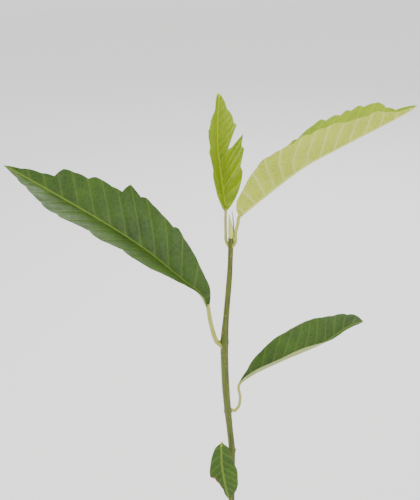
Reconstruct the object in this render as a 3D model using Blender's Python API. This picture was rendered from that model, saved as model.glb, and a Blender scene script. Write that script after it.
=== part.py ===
"""A potted breadnut seedling: one green stem in a plain clay pot, five leaves and a bud.

Metres, +Z up. The origin is the centre of the pot's flat underside, -Y is the front.
Each leaf is a petiole and a blade. A blade is a sheet spread from its midrib: a point on it is
named by how far along the midrib and how far out from it the point lies, and its two halves
rise from the midrib by the fold angle.
"""
import math
from typing import NamedTuple

import bmesh
import bpy
from mathutils import Vector
from mathutils.geometry import interpolate_bezier

# Clearance between touching pieces
GAP = 0.0003

# Pot: a turned clay pot with a collar and three drain holes round a solid centre
POT_HEIGHT = 0.128
POT_TOP_RADIUS = 0.075
POT_FOOT_RADIUS = 0.050
POT_WALL = 0.0055
POT_FLOOR = 0.008
COLLAR_HEIGHT = 0.027
COLLAR_STEP = 0.004
POT_EDGE_ROUND = 0.0018
POT_SEGMENTS = 48
DRAIN_RADIUS = 0.0065
DRAIN_CIRCLE_RADIUS = 0.027
DRAIN_COUNT = 3
DRAIN_TURN_DEG = 93.0

# Soil: fills the pot to a finger's width under the rim
SOIL_TOP = 0.112
SOIL_MOUND = 0.0015
SOIL_FLAT_RADIUS = 0.014

# Stem: centre line above the soil with its radius, foot first; it kinks a little at each node
STEM_LINE = (
    (0.0000, 0.000, 0.0000, 0.0052),
    (0.0000, 0.000, 0.0040, 0.0042),
    (-0.0004, 0.000, 0.0140, 0.0034),
    (-0.0016, 0.000, 0.0480, 0.0031),
    (-0.0006, 0.000, 0.0880, 0.0029),
    (-0.0012, 0.000, 0.1200, 0.0027),
    (0.0006, 0.000, 0.1770, 0.0028),
    (-0.0005, 0.000, 0.1990, 0.0027),
    (-0.0017, 0.000, 0.2190, 0.0029),
    (-0.0027, 0.000, 0.2415, 0.0031),
    (-0.0030, 0.000, 0.2650, 0.0031),
    (-0.0026, 0.000, 0.2874, 0.0032),
    (-0.0005, 0.000, 0.3116, 0.0024),
    (0.0029, 0.000, 0.3455, 0.0022),
    (0.0041, 0.000, 0.3619, 0.0020),
    (0.0050, 0.000, 0.3800, 0.0021),
)
NODE_HEIGHTS = (0.048, 0.088, 0.132, 0.177, 0.219, 0.2874)
NODE_SWELL = 0.0005
NODE_REACH = 0.0030

# Blade: side veins run forward from the midrib, and the mesh lines follow them
BLADE_THICKNESS_SHARE = 0.0102
RIB_THICKNESS_FACTOR = 1.7
VEIN_FAN_SHARE = 0.20
HALF_STEPS = (0.12, 0.55, 1.0)
STATION_STEP = 0.0105

LEAF_GREEN = (0.045, 0.130, 0.020, 1.0)
YOUNG_GREEN = (0.260, 0.430, 0.060, 1.0)
STALK_GREEN = (0.200, 0.290, 0.060, 1.0)
BUD_GREEN = (0.420, 0.520, 0.150, 1.0)
HUSK_BROWN = (0.180, 0.120, 0.060, 1.0)
CLAY = (0.480, 0.190, 0.095, 1.0)
SOIL_BROWN = (0.035, 0.022, 0.014, 1.0)


class Leaf(NamedTuple):
    """One leaf: all points are metres above the soil, stem foot at zero."""

    name: str
    color: tuple
    petiole: tuple            # points from the stem to the blade
    petiole_radii: tuple      # at the stem, at the blade
    midrib: tuple             # points from the blade's base to its tip
    faces: tuple              # directions the upper side looks in, at the base and at the tip
    folds_deg: tuple          # how far each half rises from flat, at the base and at the tip
    camber_deg: float         # how much of that rise a half loses over 30 mm of width
    vein_slant: float         # forward run of a side vein for each metre outwards
    left_margin: tuple        # (along the midrib, out from it), base to tip
    right_margin: tuple


LEFT_LEAF = Leaf(
    name="leaf_left", color=LEAF_GREEN,
    petiole=((-0.0082, -0.0012, 0.2882), (-0.0092, -0.0040, 0.2915), (-0.0112, -0.0065, 0.3000),
             (-0.0134, -0.0088, 0.3140), (-0.0146, -0.0092, 0.3262)),
    petiole_radii=(0.0020, 0.0015),
    midrib=((-0.0148, -0.0090, 0.3268), (-0.0200, -0.0108, 0.3392), (-0.0320, -0.0125, 0.3515),
            (-0.0610, -0.0140, 0.3815), (-0.0980, -0.0150, 0.4112), (-0.1550, -0.0100, 0.4490)),
    faces=((0.30, -0.42, 1.0), (0.30, -0.50, 1.0)), folds_deg=(42.0, 21.0), camber_deg=7.0,
    vein_slant=0.85,
    left_margin=((0.0, 0.0016), (0.008, 0.0055), (0.018, 0.0100), (0.034, 0.0135), (0.049, 0.0200),
                 (0.063, 0.0265), (0.077, 0.0300), (0.088, 0.0308), (0.091, 0.0280), (0.1015, 0.0283),
                 (0.113, 0.0272), (0.116, 0.0248), (0.137, 0.0268), (0.140, 0.0240), (0.149, 0.0232),
                 (0.153, 0.0200), (0.160, 0.0175), (0.168, 0.0105), (0.177, 0.0050), (0.190, 0.0)),
    right_margin=((0.0, 0.0016), (0.0075, 0.0060), (0.0175, 0.0115), (0.029, 0.0180),
                  (0.040, 0.0220), (0.051, 0.0250), (0.059, 0.0282), (0.063, 0.0264), (0.074, 0.0292),
                  (0.083, 0.0316), (0.089, 0.0335), (0.093, 0.0316), (0.104, 0.0355), (0.107, 0.0270),
                  (0.115, 0.0266), (0.129, 0.0268), (0.133, 0.0226), (0.144, 0.0212),
                  (0.152, 0.0196), (0.155, 0.0116), (0.164, 0.0086), (0.178, 0.0040), (0.190, 0.0)))

RIGHT_LEAF = Leaf(
    name="leaf_right", color=YOUNG_GREEN,
    petiole=((0.0080, -0.0006, 0.3760), (0.0086, -0.0010, 0.3840), (0.0104, -0.0016, 0.3920),
             (0.0116, -0.0020, 0.3980)),
    petiole_radii=(0.0013, 0.0012),
    midrib=((0.0118, -0.0022, 0.3988), (0.0310, -0.0120, 0.4190), (0.0550, -0.0310, 0.4460),
            (0.0760, -0.0400, 0.4612), (0.1160, -0.0530, 0.4870), (0.1235, -0.0560, 0.4932)),
    faces=((-0.30, 0.07, 1.0), (-0.30, 0.22, 1.0)), folds_deg=(48.0, 42.0), camber_deg=6.0,
    vein_slant=0.85,
    left_margin=((0.0, 0.0013), (0.005, 0.0070), (0.014, 0.0145), (0.033, 0.0215), (0.052, 0.0255),
                 (0.062, 0.0280), (0.066, 0.0260), (0.076, 0.0270), (0.084, 0.0275), (0.091, 0.0290),
                 (0.094, 0.0262), (0.1015, 0.0275), (0.105, 0.0250), (0.110, 0.0268),
                 (0.1135, 0.0240), (0.119, 0.0248), (0.123, 0.0212), (0.133, 0.0195),
                 (0.137, 0.0125), (0.1425, 0.0065), (0.157, 0.0)),
    right_margin=((0.0, 0.0013), (0.0052, 0.0080), (0.0137, 0.0150), (0.0334, 0.0220),
                  (0.052, 0.0260), (0.063, 0.0290), (0.067, 0.0276), (0.075, 0.0290),
                  (0.083, 0.0300), (0.091, 0.0335), (0.0945, 0.0298), (0.100, 0.0300),
                  (0.104, 0.0272), (0.112, 0.0265), (0.116, 0.0230), (0.125, 0.0205),
                  (0.129, 0.0180), (0.1355, 0.0168), (0.139, 0.0110), (0.1445, 0.0068), (0.157, 0.0)))

UPRIGHT_LEAF = Leaf(
    name="leaf_upright", color=YOUNG_GREEN,
    petiole=((0.0014, 0.0019, 0.3760), (0.0012, 0.0025, 0.3840), (0.0013, 0.0032, 0.3920),
             (0.0017, 0.0040, 0.4000)),
    petiole_radii=(0.0011, 0.0010),
    midrib=((0.0018, 0.0041, 0.4008), (-0.0010, 0.0100, 0.4260), (-0.0025, 0.0180, 0.4510),
            (0.0000, 0.0270, 0.4840)),
    faces=((0.60, -0.80, 0.30), (0.60, -0.80, 0.30)), folds_deg=(38.0, 34.0), camber_deg=6.0,
    vein_slant=1.35,
    left_margin=((0.0, 0.0012), (0.0086, 0.0090), (0.019, 0.0140), (0.027, 0.0162), (0.031, 0.0146),
                 (0.044, 0.0186), (0.0475, 0.0160), (0.058, 0.0168), (0.061, 0.0130),
                 (0.070, 0.0102), (0.0725, 0.0078), (0.086, 0.0)),
    right_margin=((0.0, 0.0012), (0.0086, 0.0090), (0.019, 0.0145), (0.0267, 0.0165),
                  (0.031, 0.0155), (0.044, 0.0196), (0.0465, 0.0176), (0.049, 0.0180),
                  (0.0568, 0.0190), (0.0512, 0.0145), (0.0464, 0.0105), (0.0447, 0.0075),
                  (0.0600, 0.0128), (0.0632, 0.0142), (0.0650, 0.0121), (0.0750, 0.0065),
                  (0.086, 0.0)))

LOWER_RIGHT_LEAF = Leaf(
    name="leaf_lower_right", color=LEAF_GREEN,
    petiole=((0.0032, 0.0008, 0.2186), (0.0045, 0.0020, 0.2178), (0.0078, 0.0036, 0.2212),
             (0.0090, 0.0048, 0.2295), (0.0080, 0.0056, 0.2398)),
    petiole_radii=(0.0013, 0.0011),
    midrib=((0.0092, 0.0063, 0.2430), (0.0220, 0.0100, 0.2495), (0.0470, 0.0180, 0.2562),
            (0.0820, 0.0282, 0.2650), (0.1050, 0.0385, 0.2735), (0.1180, 0.0425, 0.2755)),
    faces=((-0.20, 0.17, 1.0), (-0.20, 0.12, 1.0)), folds_deg=(42.0, 24.0), camber_deg=1.0,
    vein_slant=0.85,
    left_margin=((0.0, 0.0012), (0.011, 0.0060), (0.0195, 0.0115), (0.028, 0.0150), (0.043, 0.0213),
                 (0.055, 0.0240), (0.0655, 0.0264), (0.083, 0.0262), (0.096, 0.0222),
                 (0.1035, 0.0180), (0.110, 0.0150), (0.1125, 0.0118), (0.1175, 0.0100),
                 (0.1205, 0.0060), (0.122, 0.0)),
    right_margin=((0.0, 0.0012), (0.010, 0.0070), (0.020, 0.0120), (0.030, 0.0140), (0.043, 0.0165),
                  (0.055, 0.0200), (0.068, 0.0222), (0.083, 0.0215), (0.095, 0.0185),
                  (0.106, 0.0130), (0.115, 0.0070), (0.122, 0.0)))

FRONT_LEAF = Leaf(
    name="leaf_front", color=LEAF_GREEN,
    petiole=((-0.0034, -0.0018, 0.1787), (-0.0055, -0.0042, 0.1845), (-0.0076, -0.0068, 0.1900),
             (-0.0082, -0.0084, 0.1922)),
    petiole_radii=(0.0012, 0.0010),
    midrib=((-0.0086, -0.0110, 0.1935), (-0.0087, -0.0200, 0.1785), (-0.0065, -0.0260, 0.1620),
            (-0.0040, -0.0280, 0.1480)),
    faces=((0.0, -1.0, 0.50), (0.0, -1.0, 0.50)), folds_deg=(16.0, 14.0), camber_deg=5.0,
    vein_slant=0.70,
    left_margin=((0.0, 0.0012), (0.0025, 0.0055), (0.0080, 0.0078), (0.0160, 0.0100),
                 (0.0215, 0.0124), (0.0310, 0.0118), (0.0390, 0.0097), (0.0455, 0.0052), (0.0500, 0.0)),
    right_margin=((0.0, 0.0012), (0.0030, 0.0052), (0.0090, 0.0078), (0.0150, 0.0095),
                  (0.0205, 0.0108), (0.0255, 0.0112), (0.0275, 0.0078), (0.0330, 0.0048),
                  (0.0390, 0.0026), (0.0440, 0.0022), (0.0500, 0.0)))

LEAVES = (LEFT_LEAF, RIGHT_LEAF, UPRIGHT_LEAF, LOWER_RIGHT_LEAF, FRONT_LEAF)

# Tip of the stem: the growing bud in its sheath, and one shed sheath dried to a spike
BUD_LINE = ((0.0049, -0.0002, 0.3806, 0.0017), (0.0050, -0.0002, 0.3835, 0.0020),
            (0.0048, -0.0002, 0.3890, 0.0016), (0.0044, -0.0002, 0.3945, 0.0009),
            (0.0042, -0.0002, 0.3988, 0.0003))
SPIKE_LINE = ((0.0069, 0.0027, 0.3800, 0.0005), (0.0072, 0.0028, 0.3878, 0.0005),
              (0.0070, 0.0029, 0.3945, 0.0004), (0.0064, 0.0028, 0.4007, 0.0002))


def clear_scene() -> None:
    """Remove every object of the opened file."""
    for thing in list(bpy.data.objects):
        bpy.data.objects.remove(thing, do_unlink=True)


def make_material(name: str, color: tuple, roughness: float) -> bpy.types.Material:
    """A plain surface with the piece's own colour."""
    material = bpy.data.materials.new(name)
    material.use_nodes = True
    shader = material.node_tree.nodes["Principled BSDF"]
    shader.inputs["Base Color"].default_value = color
    shader.inputs["Roughness"].default_value = roughness
    shader.inputs["Metallic"].default_value = 0.0
    return material


def add_object(name: str, data: bpy.types.ID, material: bpy.types.Material) -> bpy.types.Object:
    """Put a mesh or curve into the scene under the piece's name."""
    piece = bpy.data.objects.new(name, data)
    bpy.context.scene.collection.objects.link(piece)
    data.materials.append(material)
    return piece


def smooth_line(points: list, steps: int) -> list:
    """Points of a smooth curve that passes through the given ones."""
    vectors = [Vector(point) for point in points]
    line = []
    for index in range(len(vectors) - 1):
        start, end = vectors[index], vectors[index + 1]
        before = vectors[max(index - 1, 0)]
        after = vectors[min(index + 2, len(vectors) - 1)]
        span = (end - start).length
        leave = (end - before).normalized() * span / 3.0
        arrive = (after - start).normalized() * span / 3.0
        line += interpolate_bezier(start, start + leave, end - arrive, end, steps + 1)[:-1]
    return line + [vectors[-1]]


def mix(first: float, second: float, share: float) -> float:
    """The value at a share of the way from the first to the second."""
    return first + (second - first) * share


def raised(point: tuple) -> Vector:
    """A point given above the soil, in the pot's own frame."""
    return Vector((point[0], point[1], point[2] + SOIL_TOP + GAP))


def limb(name: str, line: list, radii: list, sides_level: int, material: bpy.types.Material) -> None:
    """A tapering round limb along a line, with flat closed ends."""
    curve = bpy.data.curves.new(name, "CURVE")
    curve.dimensions = "3D"
    curve.bevel_depth = 1.0
    curve.bevel_resolution = sides_level
    curve.use_fill_caps = True
    spline = curve.splines.new("POLY")
    spline.points.add(len(line) - 1)
    for point, place, radius in zip(spline.points, line, radii):
        point.co = (*place, 1.0)
        point.radius = radius
    spline.use_smooth = True
    add_object(name, curve, material)


def turned_mesh(name: str, profile: list, segments: int) -> bpy.types.Mesh:
    """Turn a profile of (radius, height) points, first and last on the axis, round Z."""
    mesh_data = bmesh.new()
    rings = []
    for radius, height in profile[1:-1]:
        ring = []
        for index in range(segments):
            angle = 2.0 * math.pi * index / segments
            ring.append(mesh_data.verts.new((radius * math.cos(angle), radius * math.sin(angle), height)))
        rings.append(ring)
    for inner, outer in zip(rings[:-1], rings[1:]):
        for index in range(segments):
            following = (index + 1) % segments
            mesh_data.faces.new((inner[index], inner[following], outer[following], outer[index]))
    first = mesh_data.verts.new((0.0, 0.0, profile[0][1]))
    last = mesh_data.verts.new((0.0, 0.0, profile[-1][1]))
    for index in range(segments):
        following = (index + 1) % segments
        mesh_data.faces.new((first, rings[0][following], rings[0][index]))
        mesh_data.faces.new((last, rings[-1][index], rings[-1][following]))
    bmesh.ops.recalc_face_normals(mesh_data, faces=mesh_data.faces)
    mesh = bpy.data.meshes.new(name)
    mesh_data.to_mesh(mesh)
    mesh_data.free()
    mesh.shade_smooth()
    mesh.set_sharp_from_angle(angle=math.radians(40.0))
    return mesh


def wall_radius(height: float) -> float:
    """Outer radius of the pot's tapering wall at a height."""
    return mix(POT_FOOT_RADIUS, POT_TOP_RADIUS - COLLAR_STEP, height / POT_HEIGHT)


def build_pot() -> None:
    """The clay pot: tapering wall, collar and three drain holes in its floor."""
    collar_foot = POT_HEIGHT - COLLAR_HEIGHT
    soft = POT_EDGE_ROUND
    inner_foot = wall_radius(POT_FLOOR) - POT_WALL
    inner_top = wall_radius(POT_HEIGHT) - POT_WALL
    profile = [
        (0.0, 0.0),
        (POT_FOOT_RADIUS - soft, 0.0),
        (POT_FOOT_RADIUS, soft),
        (wall_radius(collar_foot), collar_foot),
        (POT_TOP_RADIUS - 1.5 * soft, collar_foot),
        (POT_TOP_RADIUS - 0.5 * soft, collar_foot + soft),
        (POT_TOP_RADIUS, POT_HEIGHT - 1.5 * soft),
        (POT_TOP_RADIUS - soft, POT_HEIGHT),
        (inner_top + soft, POT_HEIGHT),
        (inner_top, POT_HEIGHT - soft),
        (inner_foot + soft, POT_FLOOR + soft),
        (inner_foot - soft, POT_FLOOR),
        (0.0, POT_FLOOR),
    ]
    clay = make_material("clay", CLAY, 0.85)
    pot = add_object("pot", turned_mesh("pot", profile, POT_SEGMENTS), clay)
    for index in range(DRAIN_COUNT):
        angle = 2.0 * math.pi * index / DRAIN_COUNT + math.radians(DRAIN_TURN_DEG)
        bpy.ops.mesh.primitive_cylinder_add(
            vertices=20, radius=DRAIN_RADIUS, depth=4.0 * POT_FLOOR,
            location=(DRAIN_CIRCLE_RADIUS * math.cos(angle), DRAIN_CIRCLE_RADIUS * math.sin(angle),
                      POT_FLOOR / 2.0))
        cutter = bpy.context.object
        cutter.name = f"drain_cutter_{index + 1}"
        cutter.hide_render = True
        cutter.display_type = "WIRE"
        cut = pot.modifiers.new(f"drain_{index + 1}", "BOOLEAN")
        cut.operation = "DIFFERENCE"
        cut.solver = "EXACT"
        cut.object = cutter


def build_soil() -> None:
    """The soil that fills the pot, a shade higher round the stem, flat where the stem stands."""
    foot = wall_radius(POT_FLOOR) - POT_WALL - POT_EDGE_ROUND - GAP
    edge_height = SOIL_TOP - SOIL_MOUND
    edge = wall_radius(edge_height) - POT_WALL - GAP
    low = POT_FLOOR + POT_EDGE_ROUND + 2.0 * GAP
    profile = [
        (0.0, POT_FLOOR + GAP),
        (foot - POT_EDGE_ROUND, POT_FLOOR + GAP),
        (wall_radius(low) - POT_WALL - 2.0 * GAP, low + POT_EDGE_ROUND),
        (edge, edge_height - POT_EDGE_ROUND),
        (edge - POT_EDGE_ROUND, edge_height),
        (0.5 * edge, SOIL_TOP - 0.4 * SOIL_MOUND),
        (SOIL_FLAT_RADIUS, SOIL_TOP),
        (0.0, SOIL_TOP),
    ]
    soil = make_material("soil", SOIL_BROWN, 1.0)
    add_object("soil", turned_mesh("soil", profile, POT_SEGMENTS), soil)


def node_swelling(height: float) -> float:
    """Extra radius of the stem near one of its nodes."""
    nearest = min(abs(height - node) for node in NODE_HEIGHTS)
    return NODE_SWELL * math.exp(-(nearest / NODE_REACH) ** 2)


def build_stem() -> None:
    """The stem: flared at the soil, swollen at each node, thin below its tip."""
    centre = smooth_line([point[:3] for point in STEM_LINE], 3)
    widths = smooth_line([(point[3], 0.0, point[2]) for point in STEM_LINE], 3)
    radii = [width.x + node_swelling(place.z) for width, place in zip(widths, centre)]
    bark = make_material("stem_skin", STALK_GREEN, 0.5)
    limb("stem", [raised(place) for place in centre], radii, 2, bark)


def build_petiole(leaf: Leaf) -> None:
    """A leaf's stalk, from beside the stem to the foot of the blade."""
    centre = [raised(place) for place in smooth_line(leaf.petiole, 3)]
    thick, thin = leaf.petiole_radii
    shares = [index / (len(centre) - 1) for index in range(len(centre))]
    radii = [mix(thick, thin, share) for share in shares]
    skin = make_material(f"{leaf.name}_stalk_skin", STALK_GREEN, 0.5)
    limb(f"petiole{leaf.name[4:]}", centre, radii, 2, skin)


class Spine:
    """A leaf's midrib, measured by length, with the frame in which its halves rise."""

    def __init__(self, leaf: Leaf) -> None:
        self.leaf = leaf
        self.points = [raised(place) for place in smooth_line(leaf.midrib, 12)]
        self.lengths = [0.0]
        for start, end in zip(self.points[:-1], self.points[1:]):
            self.lengths.append(self.lengths[-1] + (end - start).length)
        self.length = self.lengths[-1]

    def place(self, along: float) -> Vector:
        """The point of the midrib at a length from the blade's base, past its ends too."""
        index = 0
        while index < len(self.lengths) - 2 and self.lengths[index + 1] < along:
            index += 1
        span = self.lengths[index + 1] - self.lengths[index]
        return self.points[index].lerp(self.points[index + 1], (along - self.lengths[index]) / span)

    def frame(self, along: float) -> tuple:
        """Directions to the right of the midrib and up from the blade's face."""
        reach = 0.02 * self.length
        forward = (self.place(along + reach) - self.place(along - reach)).normalized()
        base, tip = (Vector(face) for face in self.leaf.faces)
        upward = base.lerp(tip, along / self.length)
        upward = (upward - upward.dot(forward) * forward).normalized()
        return forward.cross(upward), upward

    def surface(self, along: float, out: float, side: int) -> Vector:
        """A point of the blade; side is 1 for its right half and -1 for its left."""
        fold = math.radians(mix(*self.leaf.folds_deg, along / self.length))
        ease = math.radians(self.leaf.camber_deg) / 0.030
        mean_fold = fold - ease * out / 2.0
        rightward, upward = self.frame(along)
        across = side * out * math.cos(mean_fold)
        return self.place(along) + across * rightward + out * math.sin(mean_fold) * upward


def vein_root(along: float, out: float, leaf: Leaf, length: float) -> float:
    """Where on the midrib the side vein through a point of the blade starts."""
    fan = VEIN_FAN_SHARE * length
    root = along / (1.0 + leaf.vein_slant * out / fan)
    return root if root < fan else along - leaf.vein_slant * out


def along_vein(root: float, out: float, leaf: Leaf, length: float) -> float:
    """How far along the midrib a side vein has run when it is a given way out."""
    return root + leaf.vein_slant * min(root / (VEIN_FAN_SHARE * length), 1.0) * out


def margin_width(root: float, margin: list) -> float:
    """How far out the blade's edge lies on the side vein from a root; margin holds such pairs."""
    for (start, start_out), (end, end_out) in zip(margin[:-1], margin[1:]):
        if start <= root <= end:
            return mix(start_out, end_out, (root - start) / max(end - start, 1e-9))
    return margin[-1][1]


def build_blade(leaf: Leaf) -> None:
    """A blade: a sheet in its toothed outline, folded on its midrib, then thickened downwards."""
    spine = Spine(leaf)
    edges = {}
    for side, outline in ((-1, leaf.left_margin), (1, leaf.right_margin)):
        edges[side] = [(vein_root(along, out, leaf, outline[-1][0]), out) for along, out in outline]
    total = edges[1][-1][0]
    stations = sorted({round(root, 5) for edge in edges.values() for root, out in edge})
    fillers = []
    for start, end in zip(stations[:-1], stations[1:]):
        count = int((end - start) / STATION_STEP)
        fillers += [mix(start, end, (index + 1) / (count + 1)) for index in range(count)]
    stations = sorted(stations + fillers)
    stretch = spine.length / total

    sheet = bmesh.new()
    rows = []
    for root in stations[:-1]:
        row = {0: sheet.verts.new(spine.place(root * stretch))}
        for side in (-1, 1):
            width = margin_width(root, edges[side])
            for step, share in enumerate(HALF_STEPS, start=1):
                out = width * share
                along = along_vein(root, out, leaf, total) * stretch
                row[side * step] = sheet.verts.new(spine.surface(along, out, side))
        rows.append(row)
    for near, far in zip(rows[:-1], rows[1:]):
        for column in range(-len(HALF_STEPS), len(HALF_STEPS)):
            sheet.faces.new((near[column], near[column + 1], far[column + 1], far[column]))
    tip = sheet.verts.new(spine.place(spine.length))
    for column in range(-len(HALF_STEPS), len(HALF_STEPS)):
        sheet.faces.new((rows[-1][column], rows[-1][column + 1], tip))
    rib_indices = [row[0] for row in rows]
    sheet.verts.index_update()
    rib_indices = [vertex.index for vertex in rib_indices]
    mesh = bpy.data.meshes.new(leaf.name)
    sheet.to_mesh(mesh)
    sheet.free()
    mesh.shade_smooth()

    blade = add_object(leaf.name, mesh, make_material(f"{leaf.name}_skin", leaf.color, 0.45))
    thickness = BLADE_THICKNESS_SHARE * total
    rib = blade.vertex_groups.new(name="midrib")
    rib.add(rib_indices, 1.0, "REPLACE")
    thicken = blade.modifiers.new("thickness", "SOLIDIFY")
    thicken.thickness = thickness * RIB_THICKNESS_FACTOR
    thicken.offset = -1.0
    thicken.vertex_group = "midrib"
    thicken.thickness_vertex_group = 1.0 / RIB_THICKNESS_FACTOR


def build_tip() -> None:
    """The bud and the dried spike at the stem's tip."""
    for name, line, color in (("bud", BUD_LINE, BUD_GREEN), ("dry_sheath", SPIKE_LINE, HUSK_BROWN)):
        centre = smooth_line([point[:3] for point in line], 2)
        widths = smooth_line([(point[3], 0.0, point[2]) for point in line], 2)
        skin = make_material(f"{name}_skin", color, 0.6)
        limb(name, [raised(place) for place in centre], [width.x for width in widths], 2, skin)


def main() -> None:
    """Build the pot, the soil, the stem, then each leaf with its stalk, then the tip."""
    clear_scene()
    build_pot()
    build_soil()
    build_stem()
    for leaf in LEAVES:
        build_petiole(leaf)
        build_blade(leaf)
    build_tip()


main()
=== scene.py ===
"""The finished look of a potted breadnut seedling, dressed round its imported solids.

Metres, +Z up, -Y is the front. Leaf data repeats the part's own design sizes: a point on a blade
is named by how far along the midrib it lies and how far out, and the mesh lines follow the veins.
"""

import logging
import math
import random
from dataclasses import dataclass, field
from enum import Enum

import bmesh
import bpy
from mathutils import Matrix, Vector, noise
from mathutils.geometry import interpolate_bezier


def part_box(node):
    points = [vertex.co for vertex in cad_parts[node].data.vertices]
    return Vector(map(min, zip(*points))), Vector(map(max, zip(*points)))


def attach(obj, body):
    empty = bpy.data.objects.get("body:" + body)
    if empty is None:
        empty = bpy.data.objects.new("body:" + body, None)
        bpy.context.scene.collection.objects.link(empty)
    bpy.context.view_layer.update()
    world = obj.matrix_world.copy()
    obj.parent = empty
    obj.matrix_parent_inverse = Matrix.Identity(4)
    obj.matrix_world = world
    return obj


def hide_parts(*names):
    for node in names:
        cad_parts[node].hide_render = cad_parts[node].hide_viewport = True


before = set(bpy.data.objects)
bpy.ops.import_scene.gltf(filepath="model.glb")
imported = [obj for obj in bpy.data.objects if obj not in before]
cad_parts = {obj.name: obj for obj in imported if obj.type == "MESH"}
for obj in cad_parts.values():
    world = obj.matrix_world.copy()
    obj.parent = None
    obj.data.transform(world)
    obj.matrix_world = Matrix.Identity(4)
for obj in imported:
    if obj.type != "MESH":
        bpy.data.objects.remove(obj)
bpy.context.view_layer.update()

LOG = logging.getLogger("potted_seedling")
MM = 0.001
BODY = "root"
SOIL_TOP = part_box("soil")[1][2]
STEM_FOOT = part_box("stem")[0][2]


def linear(hex_color: str) -> tuple[float, float, float, float]:
    """Turn an sRGB hex colour into the linear colour that a shader takes.

    Args:
        hex_color: six hex digits, with or without a leading mark.

    Returns:
        Red, green, blue and an alpha of one.
    """
    digits = hex_color.lstrip("#")
    channels = []
    for start in (0, 2, 4):
        value = int(digits[start:start + 2], 16) / 255.0
        channels.append(value / 12.92 if value <= 0.04045 else ((value + 0.055) / 1.055) ** 2.4)
    return (channels[0], channels[1], channels[2], 1.0)


def mix(first: float, second: float, share: float) -> float:
    """Return the value at a share of the way from the first to the second."""
    return first + (second - first) * share


def above_soil(point: tuple[float, float, float]) -> Vector:
    """Return a point given above the stem's foot in the part's own frame."""
    return Vector((point[0], point[1], point[2] + STEM_FOOT))


def smooth_line(points: list, steps: int) -> list[Vector]:
    """Run a smooth curve through points.

    Args:
        points: the points it passes through.
        steps: how many pieces each stretch is cut into.

    Returns:
        The curve's points, the last one included.
    """
    vectors = [Vector(point) for point in points]
    line = []
    for index in range(len(vectors) - 1):
        start, end = vectors[index], vectors[index + 1]
        before = vectors[max(index - 1, 0)]
        after = vectors[min(index + 2, len(vectors) - 1)]
        span = (end - start).length
        leave = (end - before).normalized() * span / 3.0
        arrive = (after - start).normalized() * span / 3.0
        line += interpolate_bezier(start, start + leave, end - arrive, end, steps + 1)[:-1]
    return line + [vectors[-1]]


# Finishes

# Sockets of a colour mix, and the settings that two kinds of node share
SHARE, FIRST, SECOND = 0, 6, 7
COLOUR = {"output": 2, "data_type": "RGBA"}
SMOOTH = {"interpolation_type": "SMOOTHSTEP"}


def per_metre(size_mm: float) -> float:
    """Return the scale of a pattern whose parts have a real size in millimetres."""
    return 1000.0 / size_mm


class Shader:
    """A material under construction, with the one function that adds a node to it."""

    def __init__(self, name: str) -> None:
        """Start an empty material."""
        self.material = bpy.data.materials.new(name)
        self.material.use_nodes = True
        self.material.node_tree.nodes.clear()

    def node(self, kind: str, inputs: dict | tuple = (), output: str | int = 0,
             **settings: object) -> bpy.types.NodeSocket | None:
        """Add a node with its settings and links.

        Args:
            kind: the node's type name without its first word.
            inputs: values or linked outputs, by socket name or number, or in the sockets' order.
            output: the name or number of the output that is wanted.
            settings: properties of the node itself.

        Returns:
            That output, or None where the node has no output.
        """
        tree = self.material.node_tree
        new = tree.nodes.new(f"ShaderNode{kind}")
        for key, value in settings.items():
            setattr(new, key, value)
        for key, value in inputs.items() if isinstance(inputs, dict) else enumerate(inputs):
            if isinstance(value, bpy.types.NodeSocket):
                tree.links.new(value, new.inputs[key])
            else:
                new.inputs[key].default_value = value
        return new.outputs[output] if new.outputs else None


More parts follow.
